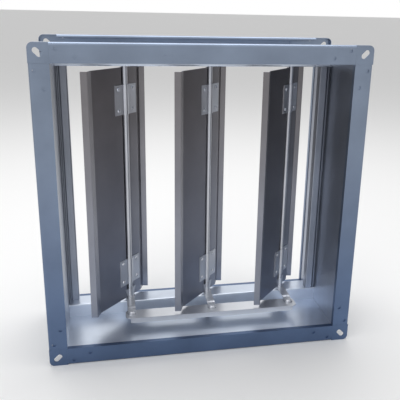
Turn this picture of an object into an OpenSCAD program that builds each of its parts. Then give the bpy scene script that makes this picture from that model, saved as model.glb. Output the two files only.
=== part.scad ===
// Smoke exhaust damper: a flanged square duct casing with three vertical blades.
// The blades turn together through cranks and one tie bar.
// X runs across the opening, Y runs along the duct from front to rear, Z is up.
// The origin is under the middle of the casing, at the foot of the flanges.

/* [Casing] */

// clear width of the duct opening, between the flange lips
open_w = 500; // [460:5:640]
// clear height of the duct opening
open_h = 500; // [380:5:800]
// length of the casing along the duct, face to face
case_l = 210; // [200:5:320]
// thickness of the casing sheet
sheet_t = 1.2; // [0.8:0.1:2]

/* [Flange] */

// height of the flange outside the opening
flange_h = 32; // [28:1:40]
// depth of the rounded outer rim
rim_d = 10; // [8:0.5:14]
// outer bend radius of the rim
rim_r = 4; // [3:0.5:5]
// thickness of the flange sheet
flange_t = 1; // [0.8:0.1:1.2]
// depth of the inner lip that hooks round the casing edge
lip_d = 9; // [6:0.5:12]
// length of the flange leg that lies on the outside of the casing
leg_l = 22; // [16:1:30]
// height of the turned-in edge behind the rim
return_h = 5; // [3:0.5:7]

/* [Corner pieces] */

// thickness of the pressed corner piece
corner_t = 2; // [1.5:0.1:2.5]
// length of each corner leg inside the flange
corner_leg = 52; // [46:1:90]
// width of each corner leg
corner_leg_w = 22; // [18:0.5:23]
// radius of the outermost corner
corner_r = 9; // [6:0.5:12]
// width of the bolt slot
slot_w = 9; // [7:0.5:11]
// overall length of the bolt slot, along the diagonal
slot_l = 17; // [13:0.5:18]
// distance of the slot centre from both outer edges
slot_in = 15; // [14:0.5:17]
// diameter of the punched locking dimples
dimple_d = 7; // [5:0.5:8]
// distance of the near dimple from the opening corner, along the leg
dimple_a = 10.5; // [8:0.5:16]
// distance of the far dimple from the opening corner
dimple_b = 39; // [30:0.5:41]
// height of the near dimple above the opening edge
dimple_rise_a = 22.5; // [21:0.5:24]
// height of the far dimple above the opening edge
dimple_rise_b = 10; // [9:0.5:13]

/* [Stops] */

// depth of the stop channels along the duct
stop_d = 38; // [34:1:44]
// height of the bottom stop channel above the opening
stop_bottom_h = 24.5; // [20:0.5:30]
// height of the top stop channel below the opening
stop_top_h = 16; // [12:0.5:24]
// how far the side stops reach into the opening
stop_side_w = 18; // [16:0.5:22]
// thickness of the stop sheet
stop_t = 1.2; // [1:0.1:1.5]
// gap between the wall and the outer leg of a side stop
stop_stand = 5; // [4:0.5:7]

/* [Blades] */

// number of blades
blade_n = 3; // [3:1:3]
// distance between neighbouring blade axes
blade_pitch = 156; // [154:0.5:158]
// sideways place of the middle blade axis
axis_x = 24; // [22:0.5:26]
// place of the blade axes behind the middle of the casing
axis_y = 31; // [25:0.5:35]
// blade opening angle, 0 is closed
blade_angle = 47.5; // [0:0.5:90]
// flat part of the blade in front of the axis
wing_front = 86.5; // [84:0.5:88]
// flat part of the blade behind the axis
wing_rear = 32; // [30:0.5:33]
// length of the sloping facet of the edge fold
fold_a = 16; // [14:0.5:16.5]
// length of the return strip of the edge fold
fold_b = 6.5; // [5:0.5:7]
// depth of the edge fold
fold_h = 7; // [6:0.5:8]
// how far the return strip crosses the blade plane
fold_over = 2; // [1:0.25:2.5]
// thickness of the blade sheet
blade_t = 1.5; // [1:0.1:1.8]
// gap between a blade end and the stop channels
end_gap = 3; // [2.5:0.5:6]

/* [Shafts] */

// diameter of the blade shafts
shaft_d = 10; // [8:0.5:11]
// half width of the groove that the shaft lies in
groove_w = 10; // [9.5:0.25:11]
// length of shaft outside the casing sheet
shaft_out = 16; // [14:0.5:18]
// length of the drive end outside the casing sheet
drive_out = 26; // [20:0.5:27]
// flange diameter of the shaft bushes
bush_flange_d = 22; // [18:0.5:26]
// outer diameter of the shaft bushes
bush_d = 15; // [13:0.5:16]
// thickness of the bush flange
bush_flange_t = 2; // [1.5:0.25:3]

/* [Clamps] */

// width of the clamp plates
clamp_w = 57; // [52:0.5:62]
// height of the clamp plates
clamp_h = 54; // [50:0.5:60]
// thickness of the clamp plates
clamp_t = 1.5; // [1:0.1:1.8]
// sideways distance of the rivets from the shaft
rivet_u = 19.5; // [16:0.5:22]
// distance of the rivets above and below the middle of a plate
rivet_v = 19.2; // [16:0.2:21]
// rivet shank diameter
rivet_d = 4; // [3.2:0.2:5]
// distance of the upper clamp below the blade top
clamp_top = 31; // [20:0.5:60]
// distance of the lower clamp above the blade bottom
clamp_low = 29; // [28:0.5:60]

/* [Linkage] */

// distance from the shaft to the crank pin
crank_r = 65; // [62:1:68]
// direction of the crank from the blade plane
crank_turn = 137.5; // [130:0.5:140]
// width of the crank arm
crank_w = 15; // [12:0.5:16]
// thickness of the crank arm
crank_t = 2.2; // [1.8:0.1:2.3]
// radius of the crank eye
eye_r = 8.5; // [8:0.25:10]
// step down of the eye below the arm
crank_step = 1.2; // [0.6:0.1:3]
// gap between the crank arm and the bottom stop channel
crank_lift = 0.5; // [0.4:0.1:0.6]
// width of the crank hub at its top
hub_w = 30; // [24:1:34]
// height of the crank hub on the shaft
hub_h = 20; // [16:1:24]
// crank pin diameter
pin_d = 8; // [6:0.5:9]
// width of the tie bar behind the crank pins
bar_back = 10; // [9:0.5:12]
// width of the tie bar in front of the crank pins
bar_front = 22; // [12:0.5:24]
// height of the tie bar
bar_h = 10; // [6:0.5:12]
// thickness of the tie bar
bar_t = 1.5; // [1.2:0.1:2]
// length of the tie bar past the outer pins
bar_over = 12; // [10:0.5:14]

/* [Clearances] */

// gap between parts that move past each other
run_gap = 0.35; // [0.3:0.05:0.6]
// radial clearance of the running fits
fit_gap = 0.05; // [0.03:0.01:0.08]
// gap between parts that only meet
seat_gap = 0.1; // [0.05:0.05:0.2]

/* [Hidden] */

$fn = 48;
over = 1;
zinc = [0.70, 0.73, 0.77];
steel = [0.62, 0.64, 0.67];
bright = [0.80, 0.82, 0.84];
bronze = [0.72, 0.56, 0.34];

out_w = open_w + 2 * flange_h;
out_h = open_h + 2 * flange_h;
front_y = -case_l / 2;
rear_y = case_l / 2;
floor_z = flange_h;
ceil_z = flange_h + open_h;

// casing sheet lies behind the flange lip
wall_x = open_w / 2 + flange_t + seat_gap;
wall_lo = floor_z - flange_t - seat_gap;
wall_hi = ceil_z + flange_t + seat_gap;
panel_l = case_l - 2 * (flange_t + seat_gap);

// stop channels
stop_front = axis_y - stop_d / 2;
stop_rear = axis_y + stop_d / 2;
stop_lo = floor_z + stop_bottom_h;
stop_hi = ceil_z - stop_top_h;

// blade ends and profile
blade_lo = stop_lo + end_gap;
blade_hi = stop_hi - end_gap;
blade_h = blade_hi - blade_lo;
groove_d = shaft_d / 2 + seat_gap + blade_t / 2;
groove_b = shaft_d / 2;
apex_front = -wing_front - fold_a;
tip_front = apex_front - fold_b;
apex_rear = wing_rear + fold_a;
tip_rear = apex_rear + fold_b;
tip_clear = fold_over + blade_t / 2 + run_gap;
side_d = stop_d / 2 - tip_clear;

// clamps
clamp_face = -blade_t / 2;
clamp_mid = clamp_face - clamp_t / 2;
bulge_r = shaft_d / 2 + seat_gap + clamp_t / 2;
clamp_up_z = blade_hi - clamp_top - clamp_h;
clamp_lo_z = blade_lo + clamp_low;

// linkage heights
arm_z = stop_lo + crank_lift;
eye_z = arm_z - crank_step;
bar_top = eye_z - run_gap;
bar_z = bar_top - bar_t;
crank_dir = blade_angle - crank_turn;
pin_x = crank_r * cos(crank_dir);
pin_y = axis_y + crank_r * sin(crank_dir);

function blade_x(i) = axis_x + (i - (blade_n + 1) / 2) * blade_pitch;

function unit(v) = v / norm(v);

function turned(v) = [-v[1], v[0]];

// direction of the line before and after a point
function before(p, i) = unit(p[max(i, 1)] - p[max(i, 1) - 1]);

function after(p, i) = unit(p[min(i, len(p) - 2) + 1] - p[min(i, len(p) - 2)]);

// a line moved sideways by d, with mitred corners
function side(p, d) = [
    for (i = [0 : len(p) - 1])
        let (a = turned(before(p, i)))
        let (b = turned(after(p, i)))
        p[i] + d * (a + b) / (1 + a * b)
];

function backwards(p) = [for (i = [len(p) - 1 : -1 : 0]) p[i]];

// the middle line of a bent sheet becomes its closed outline
function bent_sheet(p, t) = concat(side(p, t / 2), backwards(side(p, -t / 2)));

function arc(c, r, a, b, n) = [for (k = [0 : n]) c + r * [cos(a + (b - a) * k / n), sin(a + (b - a) * k / n)]];

// one corner of a line as an arc of radius r
function bend(a, b, c, r, n) =
    let (u = unit(a - b))
    let (w = unit(c - b))
    let (half = acos(u * w) / 2)
    let (m = b + unit(u + w) * r / sin(half))
    let (s = b + u * r / tan(half) - m)
    let (e = b + w * r / tan(half) - m)
    let (start = atan2(s[1], s[0]))
    let (sweep = atan2(cross(s, e), s * e))
    arc(m, r, start, start + sweep, n);

function is_end(p, i) = i == 0 || i == len(p) - 1;

// every inner corner of a line rounded to radius r
function rounded(p, r, n) = [
    for (i = [0 : len(p) - 1])
        each is_end(p, i) ? [p[i]] : bend(p[i - 1], p[i], p[i + 1], r, n)
];

// Casing sheets

module panel_low(z) {
    difference() {
        translate([-wall_x - sheet_t, front_y + flange_t + seat_gap, z])
            cube([2 * (wall_x + sheet_t), panel_l, sheet_t]);
        for (i = [1 : blade_n])
            translate([blade_x(i), axis_y, z - over])
                cylinder(d = bush_d + 2 * seat_gap, h = sheet_t + 2 * over);
    }
}

module panel_side(s) {
    x = s > 0 ? wall_x : -wall_x - sheet_t;
    translate([x, front_y + flange_t + seat_gap, wall_lo])
        cube([sheet_t, panel_l, wall_hi - wall_lo]);
}

module panel_bottom() {
    color(zinc) panel_low(wall_lo - sheet_t);
}

module panel_top() {
    color(zinc) panel_low(wall_hi);
}

module panel_left() {
    color(zinc) panel_side(-1);
}

module panel_right() {
    color(zinc) panel_side(1);
}

// Flange rails: first coordinate is the depth behind the face, second the height

pocket = flange_t + sheet_t + 2 * seat_gap;

// the face, the round rim and the turned-in edge
rim_line = rounded([
    [flange_t / 2, 0],
    [flange_t / 2, flange_h - flange_t / 2],
    [rim_d - flange_t / 2, flange_h - flange_t / 2],
    [rim_d - flange_t / 2, flange_h - return_h]
], rim_r - flange_t / 2, 5);

function after_first(p) = [for (i = [1 : len(p) - 1]) p[i]];

// the lip and the leg hold the casing edge between them
module rail_section() {
    polygon(concat(
        [[0, 0], [lip_d, 0], [lip_d, flange_t], [flange_t, flange_t]],
        [[flange_t, pocket], [leg_l, pocket], [leg_l, pocket + flange_t], [flange_t, pocket + flange_t]],
        after_first(side(rim_line, -flange_t / 2)),
        backwards(after_first(side(rim_line, flange_t / 2)))
    ));
}

// a rail lying along X under the opening, face at Y = 0
module rail(length) {
    difference() {
        translate([length / 2, 0, 0])
            rotate([-90, 0, 90])
                linear_extrude(height = length)
                    rail_section();
        for (s = [-1, 1])
            for (k = [0, 1])
                translate([s * (length / 2 + seat_gap - dimple_along[k]), -over, -dimple_rise[k]])
                    rotate([-90, 0, 0])
                        cylinder(d = dimple_d, h = flange_t + 2 * over);
    }
}

dimple_along = [dimple_a, dimple_b];
dimple_rise = [dimple_rise_a, dimple_rise_b];

module place_rail(turn) {
    reach = turn % 180 == 0 ? open_h / 2 : open_w / 2;
    translate([0, front_y, floor_z + open_h / 2])
        rotate([0, turn, 0])
            translate([0, 0, -reach])
                rail((turn % 180 == 0 ? open_w : open_h) - 2 * seat_gap);
}

module at_rear() {
    mirror([0, 1, 0]) children();
}

module front_rail_bottom() {
    color(zinc) place_rail(0);
}

module front_rail_left() {
    color(zinc) place_rail(90);
}

module front_rail_top() {
    color(zinc) place_rail(180);
}

module front_rail_right() {
    color(zinc) place_rail(270);
}

module rear_rail_bottom() {
    color(zinc) at_rear() place_rail(0);
}

module rear_rail_left() {
    color(zinc) at_rear() place_rail(90);
}

module rear_rail_top() {
    color(zinc) at_rear() place_rail(180);
}

module rear_rail_right() {
    color(zinc) at_rear() place_rail(270);
}

// Corner pieces: drawn for the corner at +X, -Z, with the opening corner at the origin

leg_y = flange_t + seat_gap;
leg_in = pocket + flange_t + seat_gap;

module corner_plate() {
    difference() {
        union() {
            cube([flange_h - corner_r, corner_t, flange_h - corner_r]);
            translate([flange_h - corner_r, 0, 0]) cube([corner_r, corner_t, flange_h - corner_r]);
            translate([0, 0, flange_h - corner_r]) cube([flange_h - corner_r, corner_t, corner_r]);
            translate([flange_h - corner_r, corner_t, flange_h - corner_r])
                rotate([90, 0, 0])
                    cylinder(r = corner_r, h = corner_t);
        }
        corner_slot();
    }
}

// the slot runs along the diagonal of the corner
module corner_slot() {
    half = (slot_l - slot_w) / 2;
    translate([flange_h - slot_in, -over, flange_h - slot_in])
        rotate([0, -45, 0]) {
            translate([-half, 0, -slot_w / 2]) cube([2 * half, corner_t + 2 * over, slot_w]);
            for (s = [-1, 1])
                translate([s * half, 0, 0])
                    rotate([-90, 0, 0])
                        cylinder(d = slot_w, h = corner_t + 2 * over);
        }
}

// the rim follows the two outer edges and turns round the corner
module corner_rim() {
    straight = flange_h - corner_r;
    translate([0, corner_t - over / 10, flange_h - flange_t])
        cube([straight, rim_d - corner_t + over / 10, flange_t]);
    translate([flange_h - flange_t, corner_t - over / 10, 0])
        cube([flange_t, rim_d - corner_t + over / 10, straight]);
    translate([straight, rim_d, straight])
        rotate([90, 0, 0])
            intersection() {
                difference() {
                    cylinder(r = corner_r, h = rim_d - corner_t + over / 10);
                    translate([0, 0, -over]) cylinder(r = corner_r - flange_t, h = rim_d + over);
                }
                translate([0, 0, -over]) cube([corner_r + over, corner_r + over, rim_d + 2 * over]);
            }
}

// a leg slides along the hollow of the rail, behind its face
module corner_legs() {
    for (m = [0, 1])
        mirror([m, 0, -m])
            difference() {
                translate([-corner_leg, leg_y, leg_in])
                    cube([corner_leg + 2, corner_t, corner_leg_w]);
                for (k = [0, 1])
                    translate([-dimple_along[k], leg_y - over, dimple_rise[k]])
                        rotate([-90, 0, 0])
                            cylinder(d = dimple_d - 2, h = over + corner_t / 3);
            }
}

module corner() {
    corner_plate();
    corner_rim();
    corner_legs();
}

module place_corner(sx, sz) {
    translate([sx * open_w / 2, front_y, sz > 0 ? ceil_z : floor_z])
        mirror([sx < 0 ? 1 : 0, 0, 0])
            mirror([0, 0, sz < 0 ? 1 : 0])
                corner();
}

module front_corner_bottom_left() {
    color(steel) place_corner(-1, -1);
}

module front_corner_bottom_right() {
    color(steel) place_corner(1, -1);
}

module front_corner_top_left() {
    color(steel) place_corner(-1, 1);
}

module front_corner_top_right() {
    color(steel) place_corner(1, 1);
}

module rear_corner_bottom_left() {
    color(steel) at_rear() place_corner(-1, -1);
}

module rear_corner_bottom_right() {
    color(steel) at_rear() place_corner(1, -1);
}

module rear_corner_top_left() {
    color(steel) at_rear() place_corner(-1, 1);
}

module rear_corner_top_right() {
    color(steel) at_rear() place_corner(1, 1);
}

// Stop channels

// an open channel of the stop depth, standing on its two legs
module stop_channel(h) {
    line = rounded([
        [-stop_d / 2 + stop_t / 2, 0],
        [-stop_d / 2 + stop_t / 2, h - stop_t / 2],
        [stop_d / 2 - stop_t / 2, h - stop_t / 2],
        [stop_d / 2 - stop_t / 2, 0]
    ], 1.5, 3);
    difference() {
        translate([-wall_x + seat_gap, axis_y, 0])
            rotate([90, 0, 90])
                linear_extrude(height = 2 * (wall_x - seat_gap))
                    polygon(bent_sheet(line, stop_t));
        for (i = [1 : blade_n])
            translate([blade_x(i), axis_y, h - stop_t - over])
                cylinder(d = bush_d + 2 * seat_gap, h = stop_t + 2 * over);
    }
}

module stop_bottom() {
    color(zinc) translate([0, 0, wall_lo]) stop_channel(stop_lo - wall_lo);
}

module stop_top() {
    color(zinc) translate([0, 0, wall_hi]) mirror([0, 0, 1]) stop_channel(wall_hi - stop_hi);
}

// a side stop has a foot on the wall, a leg off the wall, a face and an inner leg
module side_stop() {
    half = stop_t / 2;
    reach = stop_side_w + flange_t + seat_gap;
    line = rounded([
        [half, side_d * 0.4],
        [half, side_d - half],
        [stop_stand + half, side_d - half],
        [stop_stand + half, half],
        [reach - half, half],
        [reach - half, side_d]
    ], 1.2, 3);
    translate([-wall_x, 0, stop_lo + seat_gap])
        linear_extrude(height = stop_hi - stop_lo - 2 * seat_gap)
            polygon(bent_sheet(line, stop_t));
}

// the left stop waits behind the closed blade, the right one in front of it
module stop_left() {
    color(zinc) translate([0, axis_y + tip_clear, 0]) side_stop();
}

module stop_right() {
    color(zinc) translate([0, stop_front, 0]) mirror([1, 0, 0]) side_stop();
}

// Blades: the shaft axis is the origin, U runs to the rear edge, V is the rear side

function blade_line() = concat(
    [[tip_front, fold_over], [apex_front, -fold_h], [-wing_front, 0], [-groove_w, 0]],
    [[-groove_b, groove_d], [groove_b, groove_d], [groove_w, 0], [wing_rear, 0]],
    [[apex_rear, fold_h], [tip_rear, -fold_over]]
);

module rivet_places(z) {
    for (u = [-rivet_u, rivet_u])
        for (s = [-1, 1])
            translate([u, 0, z + clamp_h / 2 + s * rivet_v])
                rotate([90, 0, 0])
                    children();
}

module rivet_holes(z) {
    rivet_places(z)
        translate([0, 0, -groove_d - over])
            cylinder(d = rivet_d + 2 * seat_gap, h = 2 * (groove_d + over));
}

module on_axis(i) {
    translate([blade_x(i), axis_y, 0])
        rotate([0, 0, blade_angle])
            children();
}

module blade(i) {
    color(steel) on_axis(i)
        difference() {
            translate([0, 0, blade_lo])
                linear_extrude(height = blade_h)
                    polygon(bent_sheet(rounded(blade_line(), 1.6, 3), blade_t));
            rivet_holes(clamp_up_z);
            rivet_holes(clamp_lo_z);
        }
}

module blade_1() {
    blade(1);
}

module blade_2() {
    blade(2);
}

module blade_3() {
    blade(3);
}

// Shafts: the first one has a longer lower end for the drive

clip_groove = 0.5;
clip_t = 1.2;
clip_gap = 0.3;
clip_off = sheet_t + bush_flange_t + clip_gap;

module shaft(i, out) {
    low = wall_lo - sheet_t - out;
    high = wall_hi + sheet_t + shaft_out;
    color(bright) on_axis(i)
        difference() {
            translate([0, 0, low]) cylinder(d = shaft_d, h = high - low);
            for (z = [wall_lo - clip_off - clip_t, wall_hi + clip_off])
                translate([0, 0, z]) clip_ring(shaft_d + 2 * over, shaft_d - 2 * clip_groove);
        }
}

module clip_ring(outer, inner) {
    difference() {
        cylinder(d = outer, h = clip_t);
        translate([0, 0, -over]) cylinder(d = inner, h = clip_t + 2 * over);
    }
}

module shaft_1() {
    shaft(1, drive_out);
}

module shaft_2() {
    shaft(2, shaft_out);
}

module shaft_3() {
    shaft(3, shaft_out);
}

// two retaining rings hold each shaft between its outer bushes
module shaft_clips(i) {
    color(steel) on_axis(i)
        for (z = [wall_lo - clip_off - clip_t, wall_hi + clip_off])
            translate([0, 0, z])
                difference() {
                    clip_ring(shaft_d + 5, shaft_d - 2 * clip_groove);
                    translate([0, -2, -over]) cube([shaft_d, 4, clip_t + 2 * over]);
                }
}

module shaft_clips_1() {
    shaft_clips(1);
}

module shaft_clips_2() {
    shaft_clips(2);
}

module shaft_clips_3() {
    shaft_clips(3);
}

// Bushes: one in each casing sheet and one in each stop channel

module bush(sleeve) {
    difference() {
        union() {
            cylinder(d = bush_flange_d, h = bush_flange_t);
            cylinder(d = bush_d, h = bush_flange_t + sleeve);
        }
        translate([0, 0, -over])
            cylinder(d = shaft_d + 2 * fit_gap, h = bush_flange_t + sleeve + 2 * over);
    }
}

module bush_row(z, up) {
    for (i = [1 : blade_n])
        translate([blade_x(i), axis_y, z])
            mirror([0, 0, up ? 0 : 1])
                bush(sheet_t);
}

module bushes_bottom() {
    color(bronze) {
        bush_row(wall_lo - sheet_t - bush_flange_t, true);
        bush_row(stop_lo - stop_t - bush_flange_t, true);
    }
}

module bushes_top() {
    color(bronze) {
        bush_row(wall_hi + sheet_t + bush_flange_t, false);
        bush_row(stop_hi + stop_t + bush_flange_t, false);
    }
}

// Clamps: a plate with a half-round bulge over the shaft

function clamp_line(w) =
    let (a = asin(-clamp_mid / bulge_r))
    concat(
        [[-w / 2, clamp_mid]],
        arc([0, 0], bulge_r, 180 + a, 360 - a, 12),
        [[w / 2, clamp_mid]]
    );

module clamp_plate(z, h, w) {
    translate([0, 0, z])
        linear_extrude(height = h)
            polygon(bent_sheet(clamp_line(w), clamp_t));
}

module clamp(i, z) {
    color(bright) on_axis(i)
        difference() {
            clamp_plate(z, clamp_h, clamp_w);
            rivet_holes(z);
        }
}

module clamp_high_1() {
    clamp(1, clamp_up_z);
}

module clamp_high_2() {
    clamp(2, clamp_up_z);
}

module clamp_high_3() {
    clamp(3, clamp_up_z);
}

module clamp_low_1() {
    clamp(1, clamp_lo_z);
}

module clamp_low_2() {
    clamp(2, clamp_lo_z);
}

module clamp_low_3() {
    clamp(3, clamp_lo_z);
}

// Cranks: a flared hub on the shaft, bent over into an arm with an eye for the pin

// the hub hugs the shaft like a clamp and narrows down to the arm
module crank_hub() {
    intersection() {
        clamp_plate(arm_z + crank_t / 2, hub_h - crank_t / 2, hub_w);
        rotate([90, 0, 0])
            translate([0, 0, -over])
                linear_extrude(height = 2 * shaft_d)
                    polygon([
                        [-crank_w / 2, arm_z - over],
                        [-hub_w / 2, arm_z + hub_h],
                        [hub_w / 2, arm_z + hub_h],
                        [crank_w / 2, arm_z - over]
                    ]);
    }
}

module crank_arm() {
    mid = arm_z + crank_t / 2;
    line = [
        [0, mid],
        [crank_r - 2 * eye_r, mid],
        [crank_r - 1.5 * eye_r, mid - crank_step],
        [crank_r, mid - crank_step]
    ];
    translate([0, 0, arm_z]) cylinder(r = shaft_d, h = crank_t);
    rotate([0, 0, -crank_turn]) {
        rotate([90, 0, 0])
            translate([0, 0, -crank_w / 2])
                linear_extrude(height = crank_w)
                    polygon(bent_sheet(line, crank_t));
        translate([crank_r, 0, eye_z]) cylinder(r = eye_r, h = crank_t);
    }
}

module crank(i) {
    color(bright) on_axis(i)
        difference() {
            union() {
                crank_hub();
                crank_arm();
            }
            translate([0, 0, arm_z - over])
                cylinder(d = shaft_d + 4 * seat_gap, h = crank_t + over);
            rotate([0, 0, -crank_turn])
                translate([crank_r, 0, eye_z - over])
                    cylinder(d = pin_d + 2 * seat_gap, h = crank_t + 2 * over);
        }
}

module crank_1() {
    crank(1);
}

module crank_2() {
    crank(2);
}

module crank_3() {
    crank(3);
}

// Rivets through a blade and its two clamps

module rivet_profile() {
    head_r = rivet_d * 0.95;
    head_h = rivet_d * 0.45;
    grip = clamp_t + blade_t;
    polygon(concat(
        [[0, -head_h * 0.7], [head_r * 0.8, -head_h * 0.5], [head_r * 0.9, 0], [rivet_d / 2, 0]],
        [[rivet_d / 2, grip], [head_r, grip], [head_r * 0.85, grip + head_h * 0.6]],
        [[head_r * 0.5, grip + head_h * 0.92], [0, grip + head_h]]
    ));
}

module blade_rivets(i) {
    color(bright) on_axis(i)
        for (z = [clamp_up_z, clamp_lo_z])
            rivet_places(z)
                translate([0, 0, -blade_t / 2])
                    rotate_extrude($fn = 24)
                        rivet_profile();
}

module blade_rivets_1() {
    blade_rivets(1);
}

module blade_rivets_2() {
    blade_rivets(2);
}

module blade_rivets_3() {
    blade_rivets(3);
}

// Crank pins: riveted in the eye, with a washer on top and a ring under the bar

ring_h = 1.5;
pin_low = bar_z - run_gap - ring_h;
pin_high = eye_z + crank_t;

module crank_pin(i) {
    color(steel) on_axis(i)
        rotate([0, 0, -crank_turn])
            translate([crank_r, 0, 0]) {
                translate([0, 0, pin_low]) cylinder(d = pin_d, h = pin_high - pin_low);
                translate([0, 0, pin_high]) cylinder(d1 = pin_d + 5, d2 = pin_d + 3.6, h = 1.6);
                translate([0, 0, pin_low]) cylinder(d = pin_d + 4, h = ring_h);
            }
}

module crank_pin_1() {
    crank_pin(1);
}

module crank_pin_2() {
    crank_pin(2);
}

module crank_pin_3() {
    crank_pin(3);
}

// Tie bar: an upside-down channel hung on the three crank pins

bar_span = blade_pitch * (blade_n - 1);
bar_l = bar_span + 2 * bar_over;
bar_w = bar_back + bar_front;
bar_r = 9;
leg_len = bar_l - 2 * bar_r;

// a flat plate with round corners, front edge at Y = 0
module bar_plate() {
    translate([-leg_len / 2, 0, 0]) cube([leg_len, bar_w, bar_t]);
    translate([-bar_l / 2, bar_r, 0]) cube([bar_l, bar_w - 2 * bar_r, bar_t]);
    for (x = [-leg_len / 2, leg_len / 2])
        for (y = [bar_r, bar_w - bar_r])
            translate([x, y, 0]) cylinder(r = bar_r, h = bar_t);
}

module tie_bar() {
    color(zinc) translate([axis_x + pin_x, pin_y, bar_z])
        difference() {
            translate([0, -bar_front, 0]) {
                bar_plate();
                for (y = [0, bar_w - bar_t])
                    translate([-leg_len / 2, y, bar_t - bar_h]) cube([leg_len, bar_t, bar_h]);
            }
            for (i = [1 : blade_n])
                translate([blade_x(i) - axis_x, 0, -over])
                    cylinder(d = pin_d + 2 * (i == 1 ? fit_gap : run_gap), h = bar_t + 2 * over);
        }
}

panel_bottom();
panel_top();
panel_left();
panel_right();
front_rail_bottom();
front_rail_left();
front_rail_top();
front_rail_right();
rear_rail_bottom();
rear_rail_left();
rear_rail_top();
rear_rail_right();
front_corner_bottom_left();
front_corner_bottom_right();
front_corner_top_left();
front_corner_top_right();
rear_corner_bottom_left();
rear_corner_bottom_right();
rear_corner_top_left();
rear_corner_top_right();
stop_bottom();
stop_top();
stop_left();
stop_right();
bushes_bottom();
bushes_top();
blade_1();
blade_2();
blade_3();
shaft_1();
shaft_2();
shaft_3();
shaft_clips_1();
shaft_clips_2();
shaft_clips_3();
clamp_high_1();
clamp_high_2();
clamp_high_3();
clamp_low_1();
clamp_low_2();
clamp_low_3();
crank_1();
crank_2();
crank_3();
blade_rivets_1();
blade_rivets_2();
blade_rivets_3();
crank_pin_1();
crank_pin_2();
crank_pin_3();
tie_bar();
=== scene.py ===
import bpy
import bmesh
from math import cos, pi, radians, sin, sqrt
from mathutils import Matrix, Vector


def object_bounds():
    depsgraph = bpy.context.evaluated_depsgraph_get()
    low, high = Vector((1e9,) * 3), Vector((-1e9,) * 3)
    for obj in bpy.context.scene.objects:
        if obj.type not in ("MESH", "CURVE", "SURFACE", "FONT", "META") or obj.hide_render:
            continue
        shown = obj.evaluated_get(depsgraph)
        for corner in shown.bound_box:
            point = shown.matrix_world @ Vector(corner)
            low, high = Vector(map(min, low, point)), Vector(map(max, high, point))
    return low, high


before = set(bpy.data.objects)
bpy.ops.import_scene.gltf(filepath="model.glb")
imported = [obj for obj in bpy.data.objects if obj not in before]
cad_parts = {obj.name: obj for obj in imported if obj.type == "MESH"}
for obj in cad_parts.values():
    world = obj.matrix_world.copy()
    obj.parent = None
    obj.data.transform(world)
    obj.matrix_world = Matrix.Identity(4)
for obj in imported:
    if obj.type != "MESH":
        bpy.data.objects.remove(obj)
cad_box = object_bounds()

MM = 0.001


# Casing: four plain sheets of galvanised steel that make the duct's walls.
# The sheet is hot-dip zinc coated, so it has a soft cloudy sheen and fine rolling
# lines along the coil. The flanges grip its edges.

def new_group(name, inputs, outputs):
    group = bpy.data.node_groups.new(name, "ShaderNodeTree")
    for label, kind, value in inputs:
        socket = group.interface.new_socket(name=label, in_out="INPUT", socket_type=kind)
        socket.default_value = value
    for label, kind in outputs:
        group.interface.new_socket(name=label, in_out="OUTPUT", socket_type=kind)
    return group


def add_node(tree, kind, place=(0, 0), **settings):
    node = tree.nodes.new(kind)
    node.location = place
    for key, value in settings.items():
        setattr(node, key, value)
    return node


def ramp_stops(node, stops):
    ramp = node.color_ramp
    while len(ramp.elements) > len(stops):
        ramp.elements.remove(ramp.elements[-1])
    while len(ramp.elements) < len(stops):
        ramp.elements.new(1.0)
    for element, (place, value) in zip(ramp.elements, stops):
        element.position = place
        element.color = (value, value, value, 1.0)


def zinc_bloom_group():
    # the cloudy patches and fine flecks of a zinc coat, as a mask from 0 to 1
    group = new_group(
        "zinc_bloom",
        [("Cloud Scale", "NodeSocketFloat", 9.0), ("Fleck Scale", "NodeSocketFloat", 260.0)],
        [("Cloud", "NodeSocketFloat"), ("Fleck", "NodeSocketFloat")],
    )
    feed = add_node(group, "NodeGroupInput", (-900, 0))
    place = add_node(group, "ShaderNodeTexCoord", (-900, -250))
    cloud = add_node(group, "ShaderNodeTexNoise", (-600, 100))
    cloud.inputs["Detail"].default_value = 4.0
    cloud.inputs["Roughness"].default_value = 0.55
    fleck = add_node(group, "ShaderNodeTexVoronoi", (-600, -250))
    soft = add_node(group, "ShaderNodeMapRange", (-300, 100))
    soft.inputs["From Min"].default_value = 0.3
    soft.inputs["From Max"].default_value = 0.7
    give = add_node(group, "NodeGroupOutput", (0, 0))
    link = group.links.new
    link(place.outputs["Object"], cloud.inputs["Vector"])
    link(place.outputs["Object"], fleck.inputs["Vector"])
    link(feed.outputs["Cloud Scale"], cloud.inputs["Scale"])
    link(feed.outputs["Fleck Scale"], fleck.inputs["Scale"])
    link(cloud.outputs["Fac"], soft.inputs["Value"])
    link(soft.outputs["Result"], give.inputs["Cloud"])
    link(fleck.outputs["Distance"], give.inputs["Fleck"])
    return group


def rolling_lines_group():
    # fine straight lines left by the rolling mill, drawn out along one direction
    group = new_group(
        "rolling_lines",
        [("Stretch", "NodeSocketVector", (1.0, 1.0, 1.0)), ("Scale", "NodeSocketFloat", 300.0)],
        [("Lines", "NodeSocketFloat")],
    )
    feed = add_node(group, "NodeGroupInput", (-900, 0))
    place = add_node(group, "ShaderNodeTexCoord", (-900, -250))
    drawn = add_node(group, "ShaderNodeVectorMath", (-600, 0), operation="MULTIPLY")
    lines = add_node(group, "ShaderNodeTexNoise", (-300, 0))
    lines.inputs["Detail"].default_value = 3.0
    lines.inputs["Roughness"].default_value = 0.6
    give = add_node(group, "NodeGroupOutput", (0, 0))
    link = group.links.new
    link(place.outputs["Object"], drawn.inputs[0])
    link(feed.outputs["Stretch"], drawn.inputs[1])
    link(drawn.outputs["Vector"], lines.inputs["Vector"])
    link(feed.outputs["Scale"], lines.inputs["Scale"])
    link(lines.outputs["Fac"], give.inputs["Lines"])
    return group


ZINC_BLOOM = zinc_bloom_group()
ROLLING_LINES = rolling_lines_group()


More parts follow.
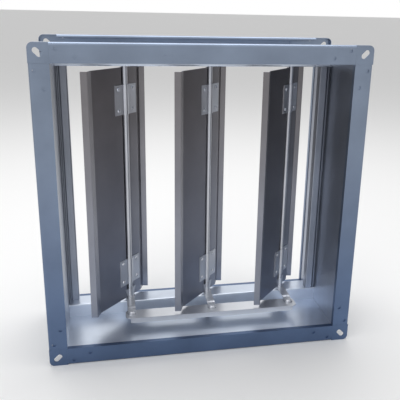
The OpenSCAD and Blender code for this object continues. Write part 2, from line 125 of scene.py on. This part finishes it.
def mix_colours(tree, place, blend="MIX"):
    node = add_node(tree, "ShaderNodeMix", place, data_type="RGBA", blend_type=blend)
    return node, node.inputs["Factor"], node.inputs["A"], node.inputs["B"], node.outputs["Result"]


def zinc_sheet(name, top, foot, low, high, metal, rough, grain, line_stretch, glow=0.12):
    # a galvanised sheet: top and foot are its tints at the heights high and low; this blend by height is a painted
    # reflection, while the cloudy tone and rolling lines are the sheet's own
    material = bpy.data.materials.new(name)
    material.use_nodes = True
    tree = material.node_tree
    shader = tree.nodes["Principled BSDF"]
    place = add_node(tree, "ShaderNodeTexCoord", (-1400, 0))
    split = add_node(tree, "ShaderNodeSeparateXYZ", (-1200, 0))
    # painted reflection: the sheet's colour is blended from foot to top by its height
    reflection_by_height = add_node(tree, "ShaderNodeMapRange", (-1000, 0), interpolation_type="SMOOTHSTEP")
    reflection_by_height.inputs["From Min"].default_value = low
    reflection_by_height.inputs["From Max"].default_value = high
    tint, tint_by, tint_a, tint_b, tint_out = mix_colours(tree, (-750, 0))
    tint.inputs["A"].default_value = (*foot, 1.0)
    tint.inputs["B"].default_value = (*top, 1.0)
    bloom = add_node(tree, "ShaderNodeGroup", (-1000, -300), node_tree=ZINC_BLOOM)
    lines = add_node(tree, "ShaderNodeGroup", (-1000, -550), node_tree=ROLLING_LINES)
    lines.inputs["Stretch"].default_value = line_stretch
    lighter = add_node(tree, "ShaderNodeMapRange", (-750, -300))
    lighter.inputs["To Min"].default_value = 1.0 - glow
    lighter.inputs["To Max"].default_value = 1.0 + glow
    cloudy, cloudy_by, cloudy_a, cloudy_b, cloudy_out = mix_colours(tree, (-450, 0), "MULTIPLY")
    cloudy_by.default_value = 1.0
    uneven = add_node(tree, "ShaderNodeMapRange", (-750, -550))
    uneven.inputs["To Min"].default_value = rough - 0.06
    uneven.inputs["To Max"].default_value = rough + 0.08
    bump = add_node(tree, "ShaderNodeBump", (-300, -450))
    bump.inputs["Strength"].default_value = grain
    bump.inputs["Distance"].default_value = 0.0002
    link = tree.links.new
    link(place.outputs["Object"], split.inputs["Vector"])
    link(split.outputs["Z"], reflection_by_height.inputs["Value"])
    link(reflection_by_height.outputs["Result"], tint_by)
    link(bloom.outputs["Cloud"], lighter.inputs["Value"])
    link(tint_out, cloudy_a)
    link(lighter.outputs["Result"], cloudy_b)
    link(cloudy_out, shader.inputs["Base Color"])
    link(lines.outputs["Lines"], uneven.inputs["Value"])
    link(uneven.outputs["Result"], shader.inputs["Roughness"])
    link(lines.outputs["Lines"], bump.inputs["Height"])
    link(bump.outputs["Normal"], shader.inputs["Normal"])
    shader.inputs["Metallic"].default_value = metal
    return material


def dress(nodes, material):
    for name in nodes:
        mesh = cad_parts[name].data
        mesh.materials.clear()
        mesh.materials.append(material)


ALONG_X = (0.04, 1.0, 1.0)
ALONG_Y = (1.0, 0.04, 1.0)
ALONG_Z = (1.0, 1.0, 0.04)
case_low, case_high = cad_box

# one galvanised sheet in two painted copies: the walls darker as in shade, the floor and top paler as lit from
# above, each also shaded by height
wall_zinc_painted_shade = zinc_sheet("wall_zinc_painted_shade", (0.30, 0.32, 0.37), (0.40, 0.44, 0.52), 0.03, 0.5, 0.9, 0.34, 0.10, ALONG_Z)
level_zinc_painted_lit = zinc_sheet("level_zinc_painted_lit", (0.62, 0.68, 0.78), (0.62, 0.68, 0.78), 0.0, 0.5, 0.9, 0.30, 0.10, ALONG_X)
dress(["panel_left", "panel_right"], wall_zinc_painted_shade)
dress(["panel_bottom", "panel_top"], level_zinc_painted_lit)

# Flanges
# painted reflection: the flanges' dark blue grows darker towards the foot
flange_zinc_painted_reflection = zinc_sheet("flange_zinc_painted_reflection", (0.24, 0.29, 0.38), (0.10, 0.15, 0.26), 0.0, 0.5, 0.9, 0.30, 0.10, ALONG_X)
SIDES = ["bottom", "left", "top", "right"]
dress([f"{end}_rail_{side}" for end in ("front", "rear") for side in SIDES], flange_zinc_painted_reflection)
CORNERS = ["bottom_left", "bottom_right", "top_left", "top_right"]
dress([f"{end}_corner_{corner}" for end in ("front", "rear") for corner in CORNERS], flange_zinc_painted_reflection)

# Stops
# the level stops take the painted-lit copy, the upright stops the painted-shade copy
dress(["stop_bottom", "stop_top"], level_zinc_painted_lit)
dress(["stop_left", "stop_right"], wall_zinc_painted_shade)

# Blades
# painted reflection: the blades are darker and browner at the top, bluer towards the foot
blade_zinc_painted_reflection = zinc_sheet("blade_zinc_painted_reflection", (0.22, 0.21, 0.22), (0.28, 0.30, 0.36), 0.06, 0.5, 0.9, 0.30, 0.10, ALONG_Z)
dress(["blade_1", "blade_2", "blade_3"], blade_zinc_painted_reflection)

# Fittings
# the fittings' own paler zinc, with a slight painted reflection that lightens it towards the foot
fittings_zinc_painted_reflection = zinc_sheet("fittings_zinc_painted_reflection", (0.55, 0.57, 0.62), (0.62, 0.64, 0.68), 0.06, 0.5, 0.9, 0.30, 0.10, ALONG_Z)
dress([f"{part}_{i}" for part in ("clamp_high", "clamp_low", "crank", "blade_rivets", "crank_pin", "shaft", "shaft_clips")
       for i in (1, 2, 3)], fittings_zinc_painted_reflection)
dress(["tie_bar", "bushes_bottom", "bushes_top"], fittings_zinc_painted_reflection)


# Camera: at the photograph's place, a little above the middle of the opening and
# left of it, looking down into the casing.

camera_data = bpy.data.cameras.new("camera")
camera = bpy.data.objects.new("camera", camera_data)
bpy.context.scene.collection.objects.link(camera)
camera_place = Vector((-0.1739, -1.0708, 0.6293))
camera_turn = radians(12.03)
camera_tilt = radians(17.61)
camera_roll = radians(1.45)
camera.matrix_world = (
    Matrix.Translation(camera_place)
    @ Matrix.Rotation(-camera_turn, 4, "Z")
    @ Matrix.Rotation(pi / 2 - camera_tilt, 4, "X")
    @ Matrix.Rotation(camera_roll, 4, "Z")
)
camera_data.lens = 53.86
camera_data.sensor_width = 36.0
camera_data.shift_x = -0.066
camera_data.shift_y = -0.022
camera_data.clip_start = 0.05
bpy.context.scene.camera = camera


# Studio: a white floor that keeps the damper's shadow, a large soft lamp overhead
# and a weak one from the front, in a white room.

def flat_floor():
    mesh = bpy.data.meshes.new("studio_floor")
    work = bmesh.new()
    bmesh.ops.create_grid(work, x_segments=1, y_segments=1, size=30.0)
    work.to_mesh(mesh)
    work.free()
    floor = bpy.data.objects.new("studio_floor", mesh)
    bpy.context.scene.collection.objects.link(floor)
    material = bpy.data.materials.new("studio_floor")
    material.use_nodes = True
    tree = material.node_tree
    shader = tree.nodes["Principled BSDF"]
    shader.inputs["Base Color"].default_value = (0.9, 0.9, 0.9, 1.0)
    shader.inputs["Roughness"].default_value = 0.9
    mesh.materials.append(material)
    return floor


flat_floor()


def soft_lamp(name, place, aim, size, power, tint=(1.0, 1.0, 1.0)):
    data = bpy.data.lights.new(name, "AREA")
    data.shape = "RECTANGLE"
    data.size, data.size_y = size
    data.energy = power
    data.color = tint
    lamp = bpy.data.objects.new(name, data)
    bpy.context.scene.collection.objects.link(lamp)
    lamp.location = place
    lamp.rotation_euler = (Vector(aim) - Vector(place)).to_track_quat("-Z", "Y").to_euler()
    return lamp


soft_lamp("lamp_over", (0.0, 0.5, 2.2), (0.0, 0.0, 0.3), (2.0, 2.0), 30.0)
soft_lamp("lamp_front", (-1.5, -2.0, 1.6), (0.0, 0.0, 0.3), (1.5, 1.5), 12.0)

world = bpy.data.worlds.new("studio")
bpy.context.scene.world = world
world.use_nodes = True
sky = world.node_tree
background = sky.nodes["Background"]
rays = add_node(sky, "ShaderNodeLightPath", (-600, 200))
seen = add_node(sky, "ShaderNodeMath", (-400, 200), operation="MAXIMUM")
seen_too = add_node(sky, "ShaderNodeMath", (-250, 200), operation="MAXIMUM")
level = add_node(sky, "ShaderNodeMapRange", (-100, 200))
level.inputs["To Min"].default_value = 0.6
level.inputs["To Max"].default_value = 1.0
sky.links.new(rays.outputs["Is Camera Ray"], seen.inputs[0])
sky.links.new(rays.outputs["Is Glossy Ray"], seen.inputs[1])
sky.links.new(seen.outputs["Value"], seen_too.inputs[0])
sky.links.new(rays.outputs["Is Transmission Ray"], seen_too.inputs[1])
sky.links.new(seen_too.outputs["Value"], level.inputs["Value"])
sky.links.new(level.outputs["Result"], background.inputs["Strength"])
background.inputs["Color"].default_value = (1.0, 1.0, 1.0, 1.0)

bpy.context.scene.view_settings.view_transform = "Standard"
